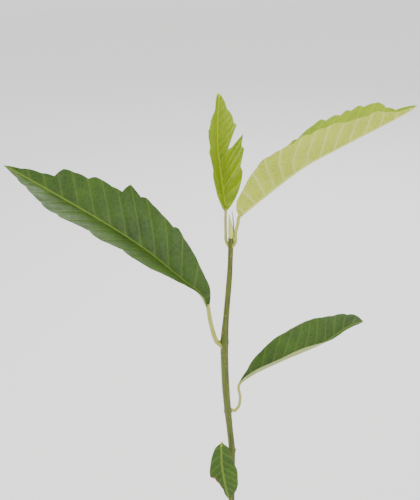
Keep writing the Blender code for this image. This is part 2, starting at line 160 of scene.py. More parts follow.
@dataclass(frozen=True)
class LeafFinish:
    """Living leaf tissue: a waxy skin over green flesh, with paler veins."""

    name: str
    flesh: str
    flesh_deep: str
    vein: str
    roughness: float
    coat: float
    relief: float
    glow: float
    vein_show: float
    hurt: str = "#7a5a2e"
    ior: float = 1.42
    coat_roughness: float = 0.28
    vein_width_mm: float = 0.55
    rib_mm: tuple[float, float] = (0.55, 1.15)
    # The real net of fine veins has meshes under a millimetre wide: this coarse, it shows
    net_mm: float = 3.52
    mottle_mm: float = 22.22
    ripple_mm: float = 2.381
    relief_mm: float = 0.25

    def build(self) -> bpy.types.Material:
        """Make the material: veins by the blade's own map, mottled flesh, fine cells in relief.

        Returns:
            The finished material.
        """
        shader = Shader(self.name)
        add = shader.node
        blade = add("UVMap", uv_map="blade")
        vein_number, out_mm = (add("SeparateXYZ", (blade,), axis) for axis in (0, 1))
        rounded = add("Math", (vein_number,), operation="ROUND")
        beside = add("Math", (vein_number, rounded), operation="SUBTRACT")
        off_vein = add("Math", (beside,), operation="ABSOLUTE")
        pitch = add("Attribute", output="Fac", attribute_name="vein_pitch_mm")
        off_mm = add("Math", (off_vein, pitch), operation="MULTIPLY")
        width = self.vein_width_mm
        line = add("MapRange", (off_mm, 0.25 * width, 1.3 * width, 1.0, 0.0), **SMOOTH)
        halo = add("MapRange", (off_mm, 0.0, 5.0 * width, 1.0, 0.0), **SMOOTH)
        rib = add("MapRange", (out_mm, *self.rib_mm, 1.0, 0.0), **SMOOTH)
        place = add("TexCoord", output="Object")
        cells = add("TexVoronoi", {"Vector": place, "Scale": per_metre(self.net_mm)},
                    feature="DISTANCE_TO_EDGE")
        net = add("MapRange", (cells, 0.0, 0.16, 1.0, 0.0), **SMOOTH)
        mottle = add("TexNoise", {"Vector": place, "Scale": per_metre(self.mottle_mm),
                                  "Detail": 5.0, "Roughness": 0.6})
        flesh = add("Mix", {SHARE: add("MapRange", (mottle, 0.30, 0.68)),
                            FIRST: linear(self.flesh_deep), SECOND: linear(self.flesh)}, **COLOUR)
        for pattern, strength in ((net, 0.42 * self.vein_show), (halo, 0.22 * self.vein_show),
                                  (line, self.vein_show), (rib, 0.9)):
            share = add("Math", (pattern, strength), operation="MULTIPLY")
            flesh = add("Mix", {SHARE: share, FIRST: flesh, SECOND: linear(self.vein)}, **COLOUR)
        hurt = add("Attribute", output="Fac", attribute_name="hurt")
        colour = add("Mix", {SHARE: hurt, FIRST: flesh, SECOND: linear(self.hurt)}, **COLOUR)
        ripple = add("TexNoise", {"Vector": place, "Scale": per_metre(self.ripple_mm), "Detail": 3.0})
        gloss = add("MapRange", (ripple, 0.3, 0.7, self.roughness - 0.06, self.roughness + 0.08),
                    **SMOOTH)
        height = add("Math", (add("Math", (cells, self.relief), operation="MULTIPLY"),
                              add("Math", (ripple, 0.5), operation="MULTIPLY")), operation="ADD")
        bump = add("Bump", {"Height": height, "Strength": 0.35, "Distance": self.relief_mm * MM})
        skin = add("BsdfPrincipled", {
            "Base Color": colour, "Roughness": gloss, "Normal": bump, "IOR": self.ior,
            "Coat Weight": self.coat, "Coat Roughness": self.coat_roughness})
        through = add("BsdfTranslucent", {"Color": colour})
        add("OutputMaterial", {"Surface": add("MixShader", (self.glow, skin, through))})
        return shader.material


# Grown leaf skin under a thick layer of wax: dark, with soft broad lights and pale veins
MATURE_UPPER = LeafFinish("leaf cuticle, mature, waxy", "#3b5d06", "#294604", "#6d8626",
                          0.46, 0.06, 0.5, 0.18, 0.30)
# Its underside has hardly any wax: paler, dull, and the veins stand out from it
MATURE_UNDER = LeafFinish("leaf underside, mature, matt", "#a3b161", "#8d9c4c", "#d3daa0",
                          0.62, 0.0, 0.9, 0.15, 0.70)
# Leaf skin that has just unfolded: thin, so light from behind turns it yellow-green
YOUNG_UPPER = LeafFinish("leaf cuticle, young, satin", "#a0b806", "#86a104", "#c2d23c",
                         0.46, 0.05, 0.6, 0.36, 0.38)
# The young underside, the palest green of all, with whitish veins in relief
YOUNG_UNDER = LeafFinish("leaf underside, young, satin", "#d3de3a", "#c2cf2a", "#f0f4a0",
                         0.58, 0.0, 0.9, 0.34, 0.75)


@dataclass(frozen=True)
class StemSkinFinish:
    """Smooth skin of a young stem or stalk, corky and browner towards the soil."""

    name: str
    green: str
    green_deep: str
    brown: str
    pore: str = "#b9b78a"
    ior: float = 1.42
    roughness: float = 0.48
    brown_below: float = 0.03
    green_above: float = 0.14
    # Sizes across and along the stem. Real pores are half a millimetre: this coarse, they show
    streak_mm: tuple[float, float] = (1.1111, 22.22)
    pore_mm: tuple[float, float] = (2.381, 4.762)
    relief_mm: float = 0.2

    def build(self) -> bpy.types.Material:
        """Make the material: streaks along the stem, pale pores, browning near the soil.

        Returns:
            The finished material.
        """
        shader = Shader(self.name)
        add = shader.node
        place = add("TexCoord", output="Object")
        streaked, dotted = (
            add("Mapping", {"Vector": place, "Scale": (*[per_metre(across)] * 2, per_metre(along))})
            for across, along in (self.streak_mm, self.pore_mm))
        streak = add("TexNoise", {"Vector": streaked, "Scale": 1.0, "Detail": 4.0})
        skin = add("Mix", {SHARE: add("MapRange", (streak, 0.32, 0.66)),
                           FIRST: linear(self.green_deep), SECOND: linear(self.green)}, **COLOUR)
        height = add("SeparateXYZ", (place,), 2)
        age = add("MapRange", (height, SOIL_TOP + self.brown_below, SOIL_TOP + self.green_above,
                               0.75, 0.0), **SMOOTH)
        skin = add("Mix", {SHARE: age, FIRST: skin, SECOND: linear(self.brown)}, **COLOUR)
        pores = add("TexVoronoi", {"Vector": dotted, "Scale": 1.0})
        pore = add("MapRange", (pores, 0.06, 0.16, 0.55, 0.0), **SMOOTH)
        skin = add("Mix", {SHARE: pore, FIRST: skin, SECOND: linear(self.pore)}, **COLOUR)
        bump = add("Bump", {"Height": add("Math", (streak, pore), operation="ADD"),
                            "Strength": 0.4, "Distance": self.relief_mm * MM})
        surface = add("BsdfPrincipled", {
            "Base Color": skin, "Roughness": self.roughness, "Normal": bump, "IOR": self.ior,
            "Subsurface Weight": 0.05})
        add("OutputMaterial", {"Surface": surface})
        return shader.material


# Living green bark, still without cork but near the soil: satin, finely streaked, dotted pale
STEM_SKIN = StemSkinFinish("stem skin, living, smooth", "#516212", "#3a480c", "#4a3f22")
# The stalks' skin is younger than the stem's: yellower and as smooth
STALK_SKIN = StemSkinFinish("leaf stalk skin, living, satin", "#a9ae52", "#8b9438", "#8b9438")
# The newest skin of the plant, round the bud: pale yellow-green
BUD_SKIN = StemSkinFinish("bud sheath, living, satin", "#c9d070", "#a9b54e", "#a9b54e")
# A sheath or scar that has dried out and shrunk: light brown and streaked
DRY_SKIN = StemSkinFinish("bud sheath, shed and dried", "#a08c6a", "#6f5b41", "#6f5b41")


@dataclass(frozen=True)
class ClayFinish:
    """Unglazed fired clay, turned on a wheel: matt and warm, with lime bloom and fine grit."""

    name: str = "terracotta, fired, unglazed"
    body: str = "#b0623f"
    body_deep: str = "#93492b"
    bloom: str = "#d9c3ae"
    damp: str = "#6a3823"
    grit: str = "#5c2f1c"
    ior: float = 1.5
    mottle_mm: float = 38.46
    bloom_mm: float = 38.0
    grit_mm: float = 0.9
    line_mm: tuple[float, float] = (83.33, 1.6129)
    relief_mm: float = 0.35
    damp_height: tuple[float, float] = (0.010, 0.028)

    def build(self) -> bpy.types.Material:
        """Make the material: mottled clay, throwing lines, grit and a pale mineral bloom.

        Returns:
            The finished material.
        """
        shader = Shader(self.name)
        add = shader.node
        place = add("TexCoord", output="Object")
        mottle = add("TexNoise", {"Vector": place, "Scale": per_metre(self.mottle_mm),
                                  "Detail": 8.0, "Roughness": 0.65})
        cloud = add("TexNoise", {"Vector": place, "Scale": per_metre(self.bloom_mm), "Detail": 9.0,
                                 "Roughness": 0.72, "Distortion": 0.4})
        grit = add("TexNoise", {"Vector": place, "Scale": per_metre(self.grit_mm), "Detail": 3.0})
        wander = add("Math", (cloud, 0.012), operation="MULTIPLY")
        level = add("Math", (add("SeparateXYZ", (place,), 2), wander), operation="ADD")
        clay = add("Mix", {SHARE: add("MapRange", (mottle, 0.33, 0.66)),
                           FIRST: linear(self.body_deep), SECOND: linear(self.body)}, **COLOUR)
        for reach, tint in (((cloud, 0.52, 0.74, 0.0, 0.55), self.bloom),
                            ((level, *self.damp_height, 0.45, 0.0), self.damp),
                            ((grit, 0.68, 0.76, 0.0, 0.5), self.grit)):
            share = add("MapRange", reach, **SMOOTH)
            clay = add("Mix", {SHARE: share, FIRST: clay, SECOND: linear(tint)}, **COLOUR)
        across, along = (per_metre(size) for size in self.line_mm)
        turned_place = add("Mapping", {"Vector": place, "Scale": (across, across, along)})
        lines = add("TexNoise", {"Vector": turned_place, "Scale": 1.0, "Detail": 2.0})
        relief = add("Math", (add("Math", (lines, 1.2), operation="MULTIPLY"),
                              add("Math", (grit, 0.8), operation="MULTIPLY")), operation="ADD")
        bump = add("Bump", {"Height": relief, "Strength": 0.5, "Distance": self.relief_mm * MM})
        rough = add("MapRange", (cloud, 0.3, 0.8, 0.80, 0.95), **SMOOTH)
        surface = add("BsdfPrincipled", {"Base Color": clay, "Roughness": rough, "Normal": bump,
                                         "IOR": self.ior})
        add("OutputMaterial", {"Surface": surface})
        return shader.material


@dataclass(frozen=True)
class SoilFinish:
    """Moist potting soil of peat and bark, sifted and poured: dark, dull and crumbly."""

    name: str = "potting soil, moist, crumbly"
    dark: str = "#2a1d15"
    brown: str = "#54402e"
    dry: str = "#7c6349"
    ior: float = 1.45
    roughness: float = 0.93
    crumb_mm: float = 3.2
    relief_mm: float = 1.2

    def build(self) -> bpy.types.Material:
        """Make the material: crumbs of two browns, their tops drier, with a rough surface.

        Returns:
            The finished material.
        """
        shader = Shader(self.name)
        add = shader.node
        place = add("TexCoord", output="Object")
        crumbs = add("TexNoise", {"Vector": place, "Scale": per_metre(self.crumb_mm),
                                  "Detail": 8.0, "Roughness": 0.7})
        colour = linear(self.dark)
        for low, high, tint in ((0.35, 0.62, self.brown), (0.62, 0.80, self.dry)):
            share = add("MapRange", (crumbs, low, high))
            colour = add("Mix", {SHARE: share, FIRST: colour, SECOND: linear(tint)}, **COLOUR)
        bump = add("Bump", {"Height": crumbs, "Strength": 0.9, "Distance": self.relief_mm * MM})
        surface = add("BsdfPrincipled", {"Base Color": colour, "Roughness": self.roughness,
                                         "Normal": bump, "IOR": self.ior})
        add("OutputMaterial", {"Surface": surface})
        return shader.material


@dataclass(frozen=True)
class GritFinish:
    """Bits of bark or white mineral that lie in potting soil, broken and matt."""

    name: str
    pale: str
    dark: str
    roughness: float = 0.9
    grain_mm: float = 1.4286
    relief_mm: float = 0.3

    def build(self) -> bpy.types.Material:
        """Make the material: one mottled colour with a matt broken surface.

        Returns:
            The finished material.
        """
        shader = Shader(self.name)
        add = shader.node
        place = add("TexCoord", output="Object")
        grain = add("TexNoise", {"Vector": place, "Scale": per_metre(self.grain_mm), "Detail": 4.0})
        bump = add("Bump", {"Height": grain, "Strength": 0.6, "Distance": self.relief_mm * MM})
        colour = add("Mix", {SHARE: add("MapRange", (grain, 0.3, 0.7)),
                             FIRST: linear(self.dark), SECOND: linear(self.pale)}, **COLOUR)
        surface = add("BsdfPrincipled", {"Base Color": colour, "Roughness": self.roughness,
                                         "Normal": bump})
        add("OutputMaterial", {"Surface": surface})
        return shader.material


# Bark that was chipped and left to rot: dark brown, torn along its grain
BARK = GritFinish("bark chips, composted", "#6e5237", "#3a2819")
# Volcanic glass puffed up by heat: off-white, full of tiny holes, so dull
MINERAL = GritFinish("perlite, expanded", "#e4dfd3", "#b9b2a3")


# Mesh helpers


def place_piece(name: str, mesh: bpy.types.Mesh, materials: list[bpy.types.Material],
                nodes: tuple[str, ...] = ()) -> bpy.types.Object:
    """Put a finished mesh into the scene as a piece of the plant.

    Args:
        name: the piece's name.
        mesh: its mesh.
        materials: its materials, in the order of the faces' indices.
        nodes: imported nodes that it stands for.

    Returns:
        The piece.
    """
    piece = bpy.data.objects.new(name, mesh)
    bpy.context.scene.collection.objects.link(piece)
    for material in materials:
        mesh.materials.append(material)
    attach(piece, BODY)
    if nodes:
        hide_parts(*nodes)
    return piece


def finish_mesh(name: str, shape: bmesh.types.BMesh, sharp_deg: float = 60.0) -> bpy.types.Mesh:
    """Turn a working mesh into a smooth-shaded one with its faces pointing out.

    Args:
        name: the mesh's name.
        shape: the working mesh, which is used up.
        sharp_deg: the angle between faces from which an edge stays sharp.

    Returns:
        The mesh.
    """
    bmesh.ops.recalc_face_normals(shape, faces=shape.faces)
    mesh = bpy.data.meshes.new(name)
    shape.to_mesh(mesh)
    shape.free()
    mesh.shade_smooth()
    mesh.set_sharp_from_angle(angle=math.radians(sharp_deg))
    return mesh


def circle(shape: bmesh.types.BMesh, radius: float, height: float, count: int) -> list:
    """Add a level ring of points round Z to a working mesh and return them."""
    angles = [2.0 * math.pi * index / count for index in range(count)]
    return [shape.verts.new((radius * math.cos(a), radius * math.sin(a), height)) for a in angles]


def tube(shape: bmesh.types.BMesh, line: list[Vector], radii: list[float], sides: int,
         ridge: float = 0.0) -> None:
    """Add a closed tapering tube to a working mesh.

    Args:
        shape: the mesh that takes it.
        line: its centre line.
        radii: its radius at each point of the line.
        sides: how many sides it has.
        ridge: relief of the ridges along it, as a share of its radius.
    """
    across = Vector((1.0, 0.0, 0.0))
    rings = []
    for index, (centre, radius) in enumerate(zip(line, radii)):
        ahead = (line[min(index + 1, len(line) - 1)] - line[max(index - 1, 0)]).normalized()
        across = (across - across.dot(ahead) * ahead).normalized()
        beside = ahead.cross(across)
        ring = []
        for side in range(sides):
            angle = 2.0 * math.pi * side / sides
            grown = radius * (1.0 + ridge * math.cos(5.0 * angle + 9.0 * centre.z))
            out = math.cos(angle) * across + math.sin(angle) * beside
            ring.append(shape.verts.new(centre + grown * out))
        rings.append(ring)
    for near, far in zip(rings[:-1], rings[1:]):
        for side in range(sides):
            following = (side + 1) % sides
            shape.faces.new((near[side], near[following], far[following], far[side]))
    shape.faces.new(list(reversed(rings[0])))
    shape.faces.new(rings[-1])


def turned(shape: bmesh.types.BMesh, profile: list[tuple[float, float]], segments: int) -> None:
    """Turn a profile round Z.

    Args:
        shape: the mesh that takes the turned form.
        profile: (radius, height) points, the first and the last on the axis.
        segments: how many flats the form has round it.
    """
    rings = [circle(shape, radius, height, segments) for radius, height in profile[1:-1]]
    poles = [shape.verts.new((0.0, 0.0, end[1])) for end in (profile[0], profile[-1])]
    for index in range(segments):
        following = (index + 1) % segments
        for inner, outer in zip(rings[:-1], rings[1:]):
            shape.faces.new((inner[index], inner[following], outer[following], outer[index]))
        shape.faces.new((poles[0], rings[0][following], rings[0][index]))
        shape.faces.new((poles[1], rings[-1][index], rings[-1][following]))


# Pot and soil


@dataclass
class Pot:
    """A turned clay pot with a collar and three drain holes round a solid centre."""

    height: float = 0.128
    top_radius: float = 0.075
    foot_radius: float = 0.050
    wall: float = 0.0055
    floor: float = 0.008
    collar_height: float = 0.027
    collar_step: float = 0.004
    edge_round: float = 0.0018
    segments: int = 144
    arc_steps: int = 5
    drain_radius: float = 0.0065
    drain_circle: float = 0.027
    drain_count: int = 3
    drain_turn_deg: float = 93.0
    finish: ClayFinish = ClayFinish()

    def wall_radius(self, height: float) -> float:
        """Return the outer radius of the tapering wall at a height."""
        return mix(self.foot_radius, self.top_radius - self.collar_step, height / self.height)

    def inner_radius(self, height: float) -> float:
        """Work out the radius inside the wall.

        Args:
            height: the height, above the corner of the floor.

        Returns:
            The radius there.
        """
        low = self.floor + self.edge_round
        share = (height - low) / (self.height - self.edge_round - low)
        return mix(self.corner_radius(), self.wall_radius(self.height) - self.wall, share)

    def corner_radius(self) -> float:
        """Return the radius inside the wall just above the corner of the floor."""
        return self.wall_radius(self.floor) - self.wall + self.edge_round

    def arc(self, radius: float, height: float, start_deg: float,
            end_deg: float) -> list[tuple[float, float]]:
        """Round an edge of the profile.

        Args:
            radius: how far out the arc's centre lies.
            height: how high it lies.
            start_deg: the angle at which the arc starts.
            end_deg: the angle at which it ends.

        Returns:
            Points of the profile.
        """
        points = []
        for step in range(self.arc_steps + 1):
            angle = math.radians(mix(start_deg, end_deg, step / self.arc_steps))
            points.append((radius + self.edge_round * math.cos(angle),
                           height + self.edge_round * math.sin(angle)))
        return points

    def profile(self) -> list[tuple[float, float]]:
        """Draw the pot's section.

        Returns:
            Its points, from the middle of the underside to the middle of the floor.
        """
        soft = self.edge_round
        collar_foot = self.height - self.collar_height
        lip = self.wall_radius(self.height) - self.wall
        low = self.floor + soft
        points = [(0.0, 0.0), (0.5 * self.foot_radius, 0.0)]
        points += self.arc(self.foot_radius - soft, soft, -90.0, -5.0)
        for share in (0.25, 0.5, 0.75, 1.0):
            points.append((self.wall_radius(share * collar_foot), share * collar_foot))
        points += self.arc(self.top_radius - 1.5 * soft, collar_foot + soft, -90.0, 0.0)
        points += self.arc(self.top_radius - soft, self.height - soft, 0.0, 90.0)
        points += self.arc(lip + soft, self.height - soft, 90.0, 180.0)
        heights = [mix(self.height - soft, low, share) for share in (0.25, 0.5, 0.75, 1.0)]
        points += [(self.inner_radius(height), height) for height in heights]
        flat = self.corner_radius() - 2.0 * soft
        points += [(flat, self.floor), (0.5 * flat, self.floor), (0.0, self.floor)]
        return points

    def build(self) -> bpy.types.Object:
        """Turn the pot, cut its drain holes and dress it.

        Returns:
            The finished piece.
        """
        shape = bmesh.new()
        turned(shape, self.profile(), self.segments)
        mesh = finish_mesh("pot_body", shape, 50.0)
        pot = place_piece("pot_body", mesh, [self.finish.build()], ("pot",))
        for index in range(self.drain_count):
            turn = 2.0 * math.pi * index / self.drain_count
            self.cut_drain(pot, turn + math.radians(self.drain_turn_deg))
        return pot

    def cut_drain(self, pot: bpy.types.Object, angle: float) -> None:
        """Bore one drain hole through the floor.

        Args:
            pot: the piece that is bored.
            angle: where round the pot the hole lies.
        """
        drill = bmesh.new()
        where = Vector((self.drain_circle * math.cos(angle), self.drain_circle * math.sin(angle),
                        self.floor / 2.0))
        bmesh.ops.create_cone(drill, cap_ends=True, segments=40, radius1=self.drain_radius,
                              radius2=self.drain_radius, depth=4.0 * self.floor,
                              matrix=Matrix.Translation(where))
        cutter = bpy.data.objects.new("drill", finish_mesh("drill", drill))
        bpy.context.scene.collection.objects.link(cutter)
        cut = pot.modifiers.new("drain", "BOOLEAN")
        cut.operation = "DIFFERENCE"
        cut.object = cutter
        bpy.context.view_layer.update()
        evaluated = pot.evaluated_get(bpy.context.evaluated_depsgraph_get())
        pot.data = bpy.data.meshes.new_from_object(evaluated)
        pot.modifiers.clear()
        bpy.data.objects.remove(cutter, do_unlink=True)


@dataclass
class Soil:
    """Soil that fills the pot, with a crumbly top and loose bits on it."""

    pot: Pot
    mound: float = 0.0015
    clearance: float = 0.0002
    flat_radius: float = 0.014
    crumb_height: float = 0.0016
    rings: int = 74
    segments: int = 190
    bits: int = 420
    bit_size: tuple[float, float] = (0.0007, 0.0024)
    bit_rise: float = 0.12
    bit_rough: float = 0.12
    pale_share: float = 0.16
    seed: int = 7

    def top_height(self, x: float, y: float) -> float:
        """Work out how high the crumbly surface lies.

        Args:
            x: the place's first coordinate.
            y: its second.

        Returns:
            The height there.
        """
        reach = math.hypot(x, y)
        edge = self.edge_radius()
        calm = max(0.0, 1.0 - reach / self.flat_radius)
        crumbs = noise.fractal(Vector((x, y, 0.0)) * 260.0, 0.8, 2.1, 5)
        lumps = noise.noise(Vector((x, y, 4.0)) * 90.0)
        rough = self.crumb_height * (0.75 * crumbs + 0.55 * lumps - 0.35) * (1.0 - calm)
        return SOIL_TOP - self.mound * (reach / edge) ** 2 + rough

    def edge_radius(self) -> float:
        """Return the radius of the soil where it meets the pot's wall."""
        return self.pot.inner_radius(SOIL_TOP) - self.clearance

    def build(self) -> list[bpy.types.Object]:
        """Build the soil and the bits that lie on it.

        Returns:
            The pieces.
        """
        shape = bmesh.new()
        edge = self.edge_radius()
        centre = shape.verts.new((0.0, 0.0, self.top_height(0.0, 0.0)))
        rings = []
        for ring_index in range(1, self.rings + 1):
            radius = edge * (ring_index / self.rings)
            ring = []
            for index in range(self.segments):
                angle = 2.0 * math.pi * index / self.segments
                x, y = radius * math.cos(angle), radius * math.sin(angle)
                ring.append(shape.verts.new((x, y, self.top_height(x, y))))
            rings.append(ring)
        floor, soft = self.pot.floor, self.pot.edge_round
        sides = [(self.pot.inner_radius(height) - self.clearance, height)
                 for height in (SOIL_TOP - 0.006, floor + 2.0 * soft)]
        sides.append((self.pot.corner_radius() - 2.0 * soft, floor + 2.0 * self.clearance))
        rings += [circle(shape, radius, height, self.segments) for radius, height in sides]
        for index in range(self.segments):
            following = (index + 1) % self.segments
            shape.faces.new((centre, rings[0][index], rings[0][following]))
            for inner, outer in zip(rings[:-1], rings[1:]):
                shape.faces.new((inner[index], outer[index], outer[following], inner[following]))
        shape.faces.new(list(reversed(rings[-1])))
        mesh = finish_mesh("soil_bed", shape, 80.0)
        pieces = [place_piece("soil_bed", mesh, [SoilFinish().build()], ("soil",))]
        for name, finish, share in (("soil_bark_bits", BARK, 1.0 - self.pale_share),
                                    ("soil_pale_bits", MINERAL, self.pale_share)):
            pieces.append(self.scatter(name, finish, round(self.bits * share)))
        return pieces

    def scatter(self, name: str, finish: GritFinish, count: int) -> bpy.types.Object:
        """Lay loose bits on the soil, joined in one mesh.

        Args:
            name: the piece's name.
            finish: what the bits are made of.
            count: how many there are.

        Returns:
            The finished piece.
        """
        chance = random.Random(self.seed + count)
        shape = bmesh.new()
        for _ in range(count):
            reach = mix(0.006, self.edge_radius() - 0.002, math.sqrt(chance.random()))
            angle = chance.uniform(0.0, 2.0 * math.pi)
            size = chance.uniform(*self.bit_size)
            x, y = reach * math.cos(angle), reach * math.sin(angle)
            turn = Matrix.Rotation(chance.uniform(0.0, 3.1), 4, "Z")
            turn = turn @ Matrix.Rotation(chance.uniform(-0.5, 0.5), 4, "X")
            stretch = Matrix.Diagonal((1.0, chance.uniform(0.5, 0.9), chance.uniform(0.35, 0.7), 1.0))
            where = Matrix.Translation((x, y, self.top_height(x, y) + self.bit_rise * size))
            made = bmesh.ops.create_icosphere(shape, subdivisions=2, radius=size / 2.0,
                                              matrix=where @ turn @ stretch)
            for vertex in made["verts"]:
                vertex.co += self.bit_rough * size * noise.noise_vector(vertex.co * 1500.0)
        return place_piece(name, finish_mesh(name, shape, 40.0), [finish.build()])


# Stem and tip


@dataclass
class Stem:
    """The seedling's one stem, flared at the soil, ringed and scarred at its nodes."""

    line: tuple = (
        (0.0000, 0.000, 0.0000, 0.0052),
        (0.0000, 0.000, 0.0040, 0.0042),
        (-0.0004, 0.000, 0.0140, 0.0034),
        (-0.0016, 0.000, 0.0480, 0.0031),
        (-0.0006, 0.000, 0.0880, 0.0029),
        (-0.0012, 0.000, 0.1200, 0.0027),
        (0.0006, 0.000, 0.1770, 0.0028),
        (-0.0005, 0.000, 0.1990, 0.0027),
        (-0.0017, 0.000, 0.2190, 0.0029),
        (-0.0027, 0.000, 0.2415, 0.0031),
        (-0.0030, 0.000, 0.2650, 0.0031),
        (-0.0026, 0.000, 0.2874, 0.0032),
        (-0.0005, 0.000, 0.3116, 0.0024),
        (0.0029, 0.000, 0.3455, 0.0022),
        (0.0041, 0.000, 0.3619, 0.0020),
        (0.0050, 0.000, 0.3800, 0.0021),
    )
    nodes: tuple = (0.048, 0.088, 0.132, 0.177, 0.219, 0.2874)
    node_swell: float = 0.0005
    node_reach: float = 0.0030
    scars: tuple = ((0.048, 35.0), (0.088, 135.0), (0.132, 215.0), (0.177, 20.0))
    scar_size: tuple[float, float, float] = (0.0014, 0.0011, 0.0007)
    scar_sunk: float = 0.0003
    sides: int = 28
    steps: int = 14
    sunk: float = 0.0020

    def swelling(self, height: float) -> float:
        """Work out the extra radius near a node, a narrow ring on a wider rise.

        Args:
            height: the height above the soil.

        Returns:
            What the radius gains there.
        """
        nearest = min(abs(height - node) for node in self.nodes)
        ring = math.exp(-(nearest / (0.35 * self.node_reach)) ** 2)
        return self.node_swell * (0.6 * math.exp(-(nearest / self.node_reach) ** 2) + 0.5 * ring)

    def centre_at(self, height: float) -> Vector:
        """Find the middle of the stem.

        Args:
            height: the height above the soil.

        Returns:
            The point there, or the stem's tip above it.
        """
        for start, end in zip(self.line[:-1], self.line[1:]):
            if start[2] <= height <= end[2]:
                return Vector(start[:3]).lerp(Vector(end[:3]), (height - start[2]) / (end[2] - start[2]))
        return Vector(self.line[-1][:3])

    def build(self) -> list[bpy.types.Object]:
        """Build the stem and its leaf scars.

        Returns:
            The pieces.
        """
        foot = self.line[0]
        line = ((*foot[:2], foot[2] - self.sunk, foot[3]), *self.line)
        centre = smooth_line([point[:3] for point in line], self.steps)
        widths = smooth_line([(point[3], 0.0, point[2]) for point in line], self.steps)
        radii = [width.x + self.swelling(place.z) for width, place in zip(widths, centre)]
        for index, place in enumerate(centre):
            radii[index] *= 1.0 + 0.02 * noise.noise(place * 160.0)
        shape = bmesh.new()
        tube(shape, [above_soil(place) for place in centre], radii, self.sides, 0.03)
        mesh = finish_mesh("stem_rod", shape)
        pieces = [place_piece("stem_rod", mesh, [STEM_SKIN.build()], ("stem",))]
        scars = bmesh.new()
        for height, bearing in self.scars:
            nearest = min(centre, key=lambda place: abs(place.z - height))
            index = centre.index(nearest)
            out = Vector((math.cos(math.radians(bearing)), math.sin(math.radians(bearing)), 0.0))
            seat = above_soil(nearest) + out * (radii[index] - self.scar_sunk)
            turn = out.to_track_quat("Z", "Y").to_matrix().to_4x4()
            size = Matrix.Diagonal((*self.scar_size, 1.0))
            bmesh.ops.create_uvsphere(scars, u_segments=20, v_segments=12, radius=1.0,
                                      matrix=Matrix.Translation(seat) @ turn @ size)
        mesh = finish_mesh("stem_scars", scars)
        pieces.append(place_piece("stem_scars", mesh, [DRY_SKIN.build()]))
        return pieces


@dataclass
class StemTip:
    """The growing bud in its sheath, and one shed sheath dried to a spike."""

    bud: tuple = ((0.0049, -0.0002, 0.3806, 0.0017), (0.0050, -0.0002, 0.3835, 0.0020),
                  (0.0048, -0.0002, 0.3890, 0.0016), (0.0044, -0.0002, 0.3945, 0.0009),
                  (0.0042, -0.0002, 0.3988, 0.0003))
    spike: tuple = ((0.0069, 0.0027, 0.3800, 0.0005), (0.0072, 0.0028, 0.3878, 0.0005),
                    (0.0070, 0.0029, 0.3945, 0.0004), (0.0064, 0.0028, 0.4007, 0.0002))
    drop: float = 0.0026

    def build(self, stem: Stem) -> list[bpy.types.Object]:
        """Build the bud and the spike, both rooted in the stem.

        Args:
            stem: the stem that they grow from.

        Returns:
            The pieces.
        """
        pieces = []
        for name, line, finish, slot, node in (
                ("bud_cone", self.bud, BUD_SKIN, "bud_skin", "bud"),
                ("dry_spike", self.spike, DRY_SKIN, "dry_sheath", "dry_sheath")):
            seat = stem.centre_at(line[0][2] - self.drop)
            rooted = ((*seat, line[0][3]), *line)
            centre = smooth_line([point[:3] for point in rooted], 10)
            widths = smooth_line([(point[3], 0.0, point[2]) for point in rooted], 10)
            shape = bmesh.new()
            radii = [width.x for width in widths]
            tube(shape, [above_soil(place) for place in centre], radii, 20, 0.05)
            mesh = finish_mesh(name, shape)
            pieces.append(place_piece(name, mesh, [finish.build()], (node,)))
        return pieces


# Leaves


class Age(Enum):
    """How old a leaf is, which settles its finishes."""

    MATURE = "mature_leaf"
    YOUNG = "young_leaf"


